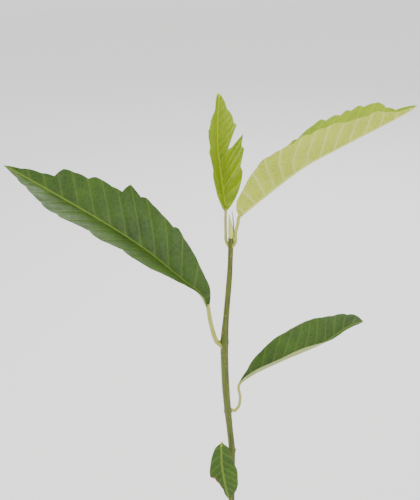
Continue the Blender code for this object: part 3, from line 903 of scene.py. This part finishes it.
@dataclass
class Leaf:
    """One leaf: a stalk and a toothed blade folded on its midrib, all in metres above the soil."""

    name: str
    age: Age
    petiole: tuple
    petiole_radii: tuple
    midrib: tuple
    faces: tuple
    folds_deg: tuple
    camber_deg: float
    vein_slant: float
    left_margin: tuple
    right_margin: tuple
    vein_pitch: float = 0.0105
    bite: tuple = ()
    thickness: float = 0.00045
    rib_depth: float = 0.0016
    rib_width: float = 0.0011
    quilt: float = 0.0007
    fan_share: float = 0.20
    half_steps: int = 20
    station_step: float = 0.0010
    wave: float = 0.0006
    vein_depth: float = 0.00035
    vein_width: float = 0.0006
    groove_depth: float = 0.00025
    groove_width: float = 0.0007
    crowding: float = 1.35
    clasp: float = 1.3
    edge_bulge: float = 0.045
    points: list = field(default_factory=list)
    lengths: list = field(default_factory=list)

    def __post_init__(self) -> None:
        """Measure the midrib."""
        self.points = [above_soil(place) for place in smooth_line(self.midrib, 12)]
        self.lengths = [0.0]
        for start, end in zip(self.points[:-1], self.points[1:]):
            self.lengths.append(self.lengths[-1] + (end - start).length)

    @property
    def length(self) -> float:
        """Length of the blade along its midrib."""
        return self.lengths[-1]

    @property
    def total(self) -> float:
        """Length of the blade in the measure of its margins."""
        return self.right_margin[-1][0]

    def place(self, along: float) -> Vector:
        """Find a point of the midrib, past its ends too.

        Args:
            along: the length from its base.

        Returns:
            The point.
        """
        index = 0
        while index < len(self.lengths) - 2 and self.lengths[index + 1] < along:
            index += 1
        span = self.lengths[index + 1] - self.lengths[index]
        return self.points[index].lerp(self.points[index + 1], (along - self.lengths[index]) / span)

    def directions(self, along: float) -> tuple[Vector, Vector]:
        """Work out how the blade's face is turned.

        Args:
            along: the length from the midrib's base.

        Returns:
            The direction to the right of the midrib and the one up from the face.
        """
        reach = 0.02 * self.length
        forward = (self.place(along + reach) - self.place(along - reach)).normalized()
        base, tip = (Vector(face) for face in self.faces)
        upward = base.lerp(tip, along / self.length)
        upward = (upward - upward.dot(forward) * forward).normalized()
        return forward.cross(upward), upward

    def surface(self, along: float, out: float, side: int, lift: float) -> Vector:
        """Return a point of the blade.

        Args:
            along: length along the midrib.
            out: distance out from the midrib.
            side: 1 for the right half and -1 for the left.
            lift: height above the blade's smooth sheet.

        Returns:
            The point.
        """
        fold = math.radians(mix(*self.folds_deg, along / self.length))
        ease = math.radians(self.camber_deg) / 0.030
        mean_fold = fold - ease * out / 2.0
        local = fold - ease * out
        rightward, upward = self.directions(along)
        flat = self.place(along) + side * out * math.cos(mean_fold) * rightward
        sheet = flat + out * math.sin(mean_fold) * upward
        blend = min(out / 0.002, 1.0)
        normal = (upward * math.cos(local) - blend * side * math.sin(local) * rightward).normalized()
        return sheet + lift * normal

    def root_of(self, along: float, out: float) -> float:
        """Find where on the midrib the side vein through a point starts.

        Args:
            along: the point's length along the midrib.
            out: its distance out from the midrib.

        Returns:
            The vein's root, as a length along the midrib.
        """
        fan = self.fan_share * self.total
        root = along / (1.0 + self.vein_slant * out / fan)
        return root if root < fan else along - self.vein_slant * out

    def run_of(self, root: float, out: float) -> float:
        """Return how far along the midrib a side vein has run when it is a given way out."""
        return root + self.vein_slant * min(root / (self.fan_share * self.total), 1.0) * out

    def edge(self, side: int) -> list[tuple[float, float]]:
        """Return the margin of one half as (vein root, out) pairs."""
        outline = self.right_margin if side > 0 else self.left_margin
        return [(self.root_of(along, out), out) for along, out in outline]

    def width_at(self, root: float, edge: list[tuple[float, float]]) -> float:
        """Find how far out the margin lies on a side vein, rounded between teeth.

        Args:
            root: the vein's root.
            edge: the margin as (vein root, out) pairs.

        Returns:
            The distance out from the midrib.
        """
        for (start, start_out), (end, end_out) in zip(edge[:-1], edge[1:]):
            if start <= root <= end:
                share = (root - start) / max(end - start, 1e-9)
                rounded = self.edge_bulge * (end - start) * math.sin(math.pi * share)
                return mix(start_out, end_out, share) + rounded * min(1.0, start_out / 0.01)
        return edge[-1][1]

    def vein_number(self, root: float, side: int) -> float:
        """Return the side vein's number at a root: whole on a vein, the halves out of step."""
        return root / self.vein_pitch + (0.5 if side > 0 else 0.85)

    def lift_at(self, root: float, out: float, width: float, side: int) -> float:
        """Work out how far the sheet bulges up between side veins.

        Args:
            root: the root of the side vein through the point.
            out: the point's distance out from the midrib.
            width: the margin's distance out on the same vein.
            side: 1 for the right half and -1 for the left.

        Returns:
            The height above the smooth sheet.
        """
        number = self.vein_number(root, side)
        off = abs(number - round(number)) * 2.0
        arch = math.sin(0.5 * math.pi * min(1.0, off)) ** 0.8 - 0.5
        fade = min(1.0, out / 0.004) * min(1.0, max(0.0, (width - out)) / 0.003 + 0.25)
        fade *= min(1.0, width / 0.012)
        share = out / max(width, 1e-6)
        sway = self.wave * share ** 2 * math.sin(root * 150.0 + 1.7 * side)
        return self.quilt * arch * fade + sway

    def stations(self) -> list[float]:
        """Choose the roots at which the mesh has a line.

        Returns:
            The roots in order, the margin's own points among them.
        """
        marks = sorted({round(root, 6) for side in (-1, 1) for root, _ in self.edge(side)})
        full = []
        for start, end in zip(marks[:-1], marks[1:]):
            count = max(1, math.ceil((end - start) / self.station_step))
            full += [mix(start, end, step / count) for step in range(count)]
        return full

    def build_blade(self) -> bpy.types.Object:
        """Build the blade as one closed mesh with its upper and under skins.

        Returns:
            The finished piece.
        """
        shape = bmesh.new()
        uv_layer = shape.loops.layers.uv.new("blade")
        hurt_layer = shape.verts.layers.float.new("hurt")
        pitch_layer = shape.verts.layers.float.new("vein_pitch_mm")
        stretch = self.length / self.total
        edges = {side: self.edge(side) for side in (-1, 1)}
        facts: dict = {}
        rows = []
        for root in self.stations():
            row: dict = {}
            for column in range(-self.half_steps, self.half_steps + 1):
                side = 1 if column >= 0 else -1
                share = (abs(column) / self.half_steps) ** self.crowding
                width = self.width_at(root, edges[side])
                out = width * share
                along = self.run_of(root, out) * stretch
                lift = self.lift_at(root, out, width, side)
                number = self.vein_number(root, side)
                off_vein = abs(number - round(number)) * self.vein_pitch
                near_vein = math.exp(-(off_vein / self.vein_width) ** 2)
                rib = self.rib_depth * self.rib_taper(root) * math.exp(-(out / self.rib_width) ** 2)
                under = self.thickness + rib
                under += self.vein_depth * near_vein * (1.0 - 0.7 * share) * min(1.0, out / 0.002)
                groove = self.groove_depth * math.exp(-(out / self.groove_width) ** 2)
                top = shape.verts.new(self.surface(along, out, side, lift - groove))
                low = shape.verts.new(self.surface(along, out, side, lift - under))
                for vertex in (top, low):
                    vertex[hurt_layer] = self.hurt_at(root, share, side)
                    vertex[pitch_layer] = self.vein_pitch / MM
                    facts[vertex] = (root, out, side)
                row[column] = (top, low)
            rows.append(row)
        point = self.place(self.length)
        tip = shape.verts.new(point)
        tip[pitch_layer] = self.vein_pitch / MM
        facts[tip] = (self.total, 0.0, 1)
        self.skin_faces(shape, rows, tip)
        for face in shape.faces:
            sides = [facts[loop.vert][2] * facts[loop.vert][1] for loop in face.loops]
            half = -1 if sum(sides) < 0 else 1
            for loop in face.loops:
                root, out, _ = facts[loop.vert]
                loop[uv_layer].uv = (self.vein_number(root, half), out / MM)
        mesh = finish_mesh(f"{self.name}_blade", shape, 75.0)
        skins = (MATURE_UPPER, MATURE_UNDER)
        if self.age is Age.YOUNG:
            skins = (YOUNG_UPPER, YOUNG_UNDER)
        return place_piece(f"{self.name}_blade", mesh, [skin.build() for skin in skins],
                           (self.name,))

    def skin_faces(self, shape: bmesh.types.BMesh, rows: list[dict],
                   tip: bmesh.types.BMVert) -> None:
        """Join the blade's points into an upper skin, an under skin and a rim.

        Args:
            shape: the mesh that takes the faces.
            rows: for each station, its upper and lower points by column.
            tip: the point in which the blade ends.
        """
        last = self.half_steps
        for near, far in zip(rows[:-1], rows[1:]):
            for column in range(-last, last):
                for layer in (0, 1):
                    corners = (near[column][layer], near[column + 1][layer],
                               far[column + 1][layer], far[column][layer])
                    shape.faces.new(corners if layer else corners[::-1]).material_index = layer
            for column in (-last, last):
                shape.faces.new((near[column][0], near[column][1], far[column][1], far[column][0]))
        for column in range(-last, last):
            first, end = rows[0], rows[-1]
            shape.faces.new((first[column][0], first[column][1],
                             first[column + 1][1], first[column + 1][0]))
            shape.faces.new((end[column][0], end[column + 1][0], tip))
            shape.faces.new((end[column + 1][1], end[column][1], tip)).material_index = 1
        for column in (-last, last):
            shape.faces.new((rows[-1][column][0], rows[-1][column][1], tip))

    def rib_taper(self, root: float) -> float:
        """Return the midrib's size at a place, from full at the base to little at the tip."""
        return mix(1.0, 0.15, min(1.0, root / self.total) ** 0.8) * self.total / 0.190

    def hurt_at(self, root: float, share: float, side: int) -> float:
        """Work out how brown the blade is, which it is only along a bitten stretch of its edge.

        Args:
            root: the root of the side vein through the point.
            share: how far out it lies, from 0 on the midrib to 1 on the margin.
            side: 1 for the right half and -1 for the left.

        Returns:
            The brownness from 0 to 1.
        """
        for bite_side, start, end in self.bite:
            if side == bite_side and start <= root <= end:
                return max(0.0, min(1.0, (share - 0.80) / 0.15))
        return 0.0

    def build_petiole(self, stem: Stem) -> bpy.types.Object:
        """Build the stalk, run into the stem at one end and into the midrib at the other.

        Args:
            stem: the stem that it grows from.

        Returns:
            The finished piece.
        """
        first, second = Vector(self.petiole[0]), Vector(self.petiole[1])
        heading = (second - first).normalized()
        reach = (first - stem.centre_at(first.z)).length
        rooted = stem.centre_at(first.z - self.clasp * reach * heading.z)
        joined = Vector(self.midrib[0]).lerp(Vector(self.midrib[1]), 0.12)
        centre = smooth_line([rooted, *self.petiole[:-1], self.petiole[-1], joined], 10)
        thick, thin = self.petiole_radii
        radii = []
        for index in range(len(centre)):
            share = index / (len(centre) - 1)
            radii.append(mix(thick, thin, share) + 0.35 * thick * math.exp(-(share / 0.12) ** 2))
        shape = bmesh.new()
        tube(shape, [above_soil(place) for place in centre], radii, 20, 0.03)
        suffix = self.name.removeprefix("leaf_")
        mesh = finish_mesh(f"stalk_{suffix}", shape)
        return place_piece(f"stalk_{suffix}", mesh, [STALK_SKIN.build()],
                           (f"petiole_{suffix}",))

    def build(self, stem: Stem) -> list[bpy.types.Object]:
        """Build the stalk and the blade."""
        return [self.build_petiole(stem), self.build_blade()]


LEAVES = (
    Leaf(
        name="leaf_left", age=Age.MATURE,
        petiole=((-0.0082, -0.0012, 0.2882), (-0.0092, -0.0040, 0.2915), (-0.0112, -0.0065, 0.3000),
                 (-0.0134, -0.0088, 0.3140), (-0.0146, -0.0092, 0.3262)),
        petiole_radii=(0.0020, 0.0015),
        midrib=((-0.0148, -0.0090, 0.3268), (-0.0200, -0.0108, 0.3392), (-0.0320, -0.0125, 0.3515),
                (-0.0610, -0.0140, 0.3815), (-0.0980, -0.0150, 0.4112), (-0.1550, -0.0100, 0.4490)),
        faces=((0.30, -0.42, 1.0), (0.30, -0.50, 1.0)), folds_deg=(42.0, 21.0), camber_deg=7.0,
        vein_slant=0.85, vein_pitch=0.0135,
        left_margin=((0.0, 0.0016), (0.008, 0.0055), (0.018, 0.0100), (0.034, 0.0135), (0.049, 0.0200),
                     (0.063, 0.0265), (0.077, 0.0300), (0.088, 0.0308), (0.091, 0.0280), (0.1015, 0.0283),
                     (0.113, 0.0272), (0.116, 0.0248), (0.137, 0.0268), (0.140, 0.0240), (0.149, 0.0232),
                     (0.153, 0.0200), (0.160, 0.0175), (0.168, 0.0105), (0.177, 0.0050), (0.190, 0.0)),
        right_margin=((0.0, 0.0016), (0.0075, 0.0060), (0.0175, 0.0115), (0.029, 0.0180),
                      (0.040, 0.0220), (0.051, 0.0250), (0.059, 0.0282), (0.063, 0.0264), (0.074, 0.0292),
                      (0.083, 0.0316), (0.089, 0.0335), (0.093, 0.0316), (0.104, 0.0355), (0.107, 0.0270),
                      (0.115, 0.0266), (0.129, 0.0268), (0.133, 0.0226), (0.144, 0.0212),
                      (0.152, 0.0196), (0.155, 0.0116), (0.164, 0.0086), (0.178, 0.0040), (0.190, 0.0))),
    Leaf(
        name="leaf_right", age=Age.YOUNG,
        petiole=((0.0080, -0.0006, 0.3760), (0.0086, -0.0010, 0.3840), (0.0104, -0.0016, 0.3920),
                 (0.0116, -0.0020, 0.3980)),
        petiole_radii=(0.0013, 0.0012),
        midrib=((0.0118, -0.0022, 0.3988), (0.0310, -0.0120, 0.4190), (0.0550, -0.0310, 0.4460),
                (0.0760, -0.0400, 0.4612), (0.1160, -0.0530, 0.4870), (0.1235, -0.0560, 0.4932)),
        faces=((-0.30, 0.07, 1.0), (-0.30, 0.22, 1.0)), folds_deg=(48.0, 42.0), camber_deg=6.0,
        vein_slant=0.85, vein_pitch=0.0112, quilt=0.0009,
        left_margin=((0.0, 0.0013), (0.005, 0.0070), (0.014, 0.0145), (0.033, 0.0215), (0.052, 0.0255),
                     (0.062, 0.0280), (0.066, 0.0260), (0.076, 0.0270), (0.084, 0.0275), (0.091, 0.0290),
                     (0.094, 0.0262), (0.1015, 0.0275), (0.105, 0.0250), (0.110, 0.0268),
                     (0.1135, 0.0240), (0.119, 0.0248), (0.123, 0.0212), (0.133, 0.0195),
                     (0.137, 0.0125), (0.1425, 0.0065), (0.157, 0.0)),
        right_margin=((0.0, 0.0013), (0.0052, 0.0080), (0.0137, 0.0150), (0.0334, 0.0220),
                      (0.052, 0.0260), (0.063, 0.0290), (0.067, 0.0276), (0.075, 0.0290),
                      (0.083, 0.0300), (0.091, 0.0335), (0.0945, 0.0298), (0.100, 0.0300),
                      (0.104, 0.0272), (0.112, 0.0265), (0.116, 0.0230), (0.125, 0.0205),
                      (0.129, 0.0180), (0.1355, 0.0168), (0.139, 0.0110), (0.1445, 0.0068), (0.157, 0.0))),
    Leaf(
        name="leaf_upright", age=Age.YOUNG,
        petiole=((0.0014, 0.0019, 0.3760), (0.0012, 0.0025, 0.3840), (0.0013, 0.0032, 0.3920),
                 (0.0017, 0.0040, 0.4000)),
        petiole_radii=(0.0011, 0.0010),
        midrib=((0.0018, 0.0041, 0.4008), (-0.0010, 0.0100, 0.4260), (-0.0025, 0.0180, 0.4510),
                (0.0000, 0.0270, 0.4840)),
        faces=((0.60, -0.80, 0.30), (0.60, -0.80, 0.30)), folds_deg=(38.0, 34.0), camber_deg=6.0,
        vein_slant=1.35, vein_pitch=0.0062, quilt=0.0011, station_step=0.0007,
        left_margin=((0.0, 0.0012), (0.0086, 0.0090), (0.019, 0.0140), (0.027, 0.0162), (0.031, 0.0146),
                     (0.044, 0.0186), (0.0475, 0.0160), (0.058, 0.0168), (0.061, 0.0130),
                     (0.070, 0.0102), (0.0725, 0.0078), (0.086, 0.0)),
        right_margin=((0.0, 0.0012), (0.0086, 0.0090), (0.019, 0.0145), (0.0267, 0.0165),
                      (0.031, 0.0155), (0.044, 0.0196), (0.0465, 0.0176), (0.049, 0.0180),
                      (0.0568, 0.0190), (0.0512, 0.0145), (0.0464, 0.0105), (0.0447, 0.0075),
                      (0.0600, 0.0128), (0.0632, 0.0142), (0.0650, 0.0121), (0.0750, 0.0065),
                      (0.086, 0.0))),
    Leaf(
        name="leaf_lower_right", age=Age.MATURE,
        petiole=((0.0032, 0.0008, 0.2186), (0.0045, 0.0020, 0.2178), (0.0078, 0.0036, 0.2212),
                 (0.0090, 0.0048, 0.2295), (0.0080, 0.0056, 0.2398)),
        petiole_radii=(0.0013, 0.0011),
        midrib=((0.0092, 0.0063, 0.2430), (0.0220, 0.0100, 0.2495), (0.0470, 0.0180, 0.2562),
                (0.0820, 0.0282, 0.2650), (0.1050, 0.0385, 0.2735), (0.1180, 0.0425, 0.2755)),
        faces=((-0.20, 0.17, 1.0), (-0.20, 0.12, 1.0)), folds_deg=(42.0, 24.0), camber_deg=1.0,
        vein_slant=0.85, vein_pitch=0.0100, quilt=0.0005,
        left_margin=((0.0, 0.0012), (0.011, 0.0060), (0.0195, 0.0115), (0.028, 0.0150), (0.043, 0.0213),
                     (0.055, 0.0240), (0.0655, 0.0264), (0.083, 0.0262), (0.096, 0.0222),
                     (0.1035, 0.0180), (0.110, 0.0150), (0.1125, 0.0118), (0.1175, 0.0100),
                     (0.1205, 0.0060), (0.122, 0.0)),
        right_margin=((0.0, 0.0012), (0.010, 0.0070), (0.020, 0.0120), (0.030, 0.0140), (0.043, 0.0165),
                      (0.055, 0.0200), (0.068, 0.0222), (0.083, 0.0215), (0.095, 0.0185),
                      (0.106, 0.0130), (0.115, 0.0070), (0.122, 0.0))),
    Leaf(
        name="leaf_front", age=Age.MATURE,
        petiole=((-0.0034, -0.0018, 0.1787), (-0.0055, -0.0042, 0.1845), (-0.0076, -0.0068, 0.1900),
                 (-0.0082, -0.0084, 0.1922)),
        petiole_radii=(0.0012, 0.0010),
        midrib=((-0.0086, -0.0110, 0.1935), (-0.0087, -0.0200, 0.1785), (-0.0065, -0.0260, 0.1620),
                (-0.0040, -0.0280, 0.1480)),
        faces=((0.0, -1.0, 0.50), (0.0, -1.0, 0.50)), folds_deg=(16.0, 14.0), camber_deg=5.0,
        vein_slant=0.70, vein_pitch=0.0062, quilt=0.0003, station_step=0.0007,
        bite=((1, 0.0190, 0.0430),),
        left_margin=((0.0, 0.0012), (0.0025, 0.0055), (0.0080, 0.0078), (0.0160, 0.0100),
                     (0.0215, 0.0124), (0.0310, 0.0118), (0.0390, 0.0097), (0.0455, 0.0052), (0.0500, 0.0)),
        right_margin=((0.0, 0.0012), (0.0030, 0.0052), (0.0090, 0.0078), (0.0150, 0.0095),
                      (0.0205, 0.0108), (0.0255, 0.0112), (0.0275, 0.0078), (0.0330, 0.0048),
                      (0.0390, 0.0026), (0.0440, 0.0022), (0.0500, 0.0))),
)


# Camera and studio


@dataclass
class Studio:
    """The camera at the photograph's viewing angle, a pale floor and soft light."""

    eye: tuple = (-0.0112, -0.5548, 0.6409)
    down_deg: float = 26.0
    roll_deg: float = 2.37
    focal_px: float = 812.0
    frame_height_px: float = 500.0
    sensor_mm: float = 36.0
    floor_size: float = 8.0

    def build_camera(self) -> None:
        """Set the camera where the photograph was taken from."""
        camera = bpy.data.cameras.new("camera")
        camera.sensor_width = self.sensor_mm
        camera.lens = self.focal_px * self.sensor_mm / self.frame_height_px
        holder = bpy.data.objects.new("camera", camera)
        bpy.context.scene.collection.objects.link(holder)
        down, roll = math.radians(self.down_deg), math.radians(self.roll_deg)
        up = Vector((0.0, math.sin(down), math.cos(down)))
        ahead = Vector((0.0, math.cos(down), -math.sin(down)))
        right = Vector((math.cos(roll), 0.0, 0.0)) - math.sin(roll) * up
        true_up = Vector((math.sin(roll), 0.0, 0.0)) + math.cos(roll) * up
        turn = Matrix((right, true_up, -ahead)).transposed().to_4x4()
        holder.matrix_world = Matrix.Translation(above_soil(self.eye)) @ turn
        bpy.context.scene.camera = holder

    def build_lights(self) -> None:
        """Hang soft lamps round the plant and light the room evenly."""
        world = bpy.data.worlds.new("studio")
        world.use_nodes = True
        background = world.node_tree.nodes["Background"]
        background.inputs["Color"].default_value = linear("#ffffff")
        background.inputs["Strength"].default_value = 1.25
        bpy.context.scene.world = world
        target = Vector((0.0, 0.0, 0.40))
        for name, where, size, power in (("key", (-0.9, -0.8, 1.7), 0.9, 20.0),
                                         ("fill", (1.3, -0.9, 1.1), 1.2, 9.0),
                                         ("back", (0.4, 1.3, 1.4), 1.2, 15.0)):
            lamp = bpy.data.lights.new(name, "AREA")
            lamp.shape = "DISK"
            lamp.size = size
            lamp.energy = power
            holder = bpy.data.objects.new(name, lamp)
            holder.location = where
            holder.rotation_euler = (target - Vector(where)).to_track_quat("-Z", "Y").to_euler()
            bpy.context.scene.collection.objects.link(holder)

    def build_floor(self) -> None:
        """Lay the plain pale floor under the pot."""
        shape = bmesh.new()
        bmesh.ops.create_grid(shape, x_segments=1, y_segments=1, size=self.floor_size / 2.0)
        # Matt wall paint on board: an even white with no gloss and no pattern
        shader = Shader("studio floor, painted")
        paint = shader.node("BsdfPrincipled", {"Base Color": linear("#fbfbfa"), "Roughness": 0.9})
        shader.node("OutputMaterial", {"Surface": paint})
        mesh = finish_mesh("floor", shape)
        floor = bpy.data.objects.new("floor", mesh)
        mesh.materials.append(shader.material)
        bpy.context.scene.collection.objects.link(floor)

    def build(self) -> None:
        """Build the camera, the lights and the floor."""
        self.build_camera()
        self.build_lights()
        self.build_floor()


def main() -> None:
    """Build the studio, then the plant from the pot up, and report each piece."""
    logging.basicConfig(level=logging.INFO, format="%(message)s")
    Studio().build()
    pot = Pot()
    pieces = [pot.build()]
    pieces += Soil(pot).build()
    stem = Stem()
    pieces += stem.build()
    for leaf in LEAVES:
        pieces += leaf.build(stem)
    pieces += StemTip().build(stem)
    for piece in pieces:
        LOG.info("%s: %d faces", piece.name, len(piece.data.polygons))


if __name__ == "__main__":
    main()
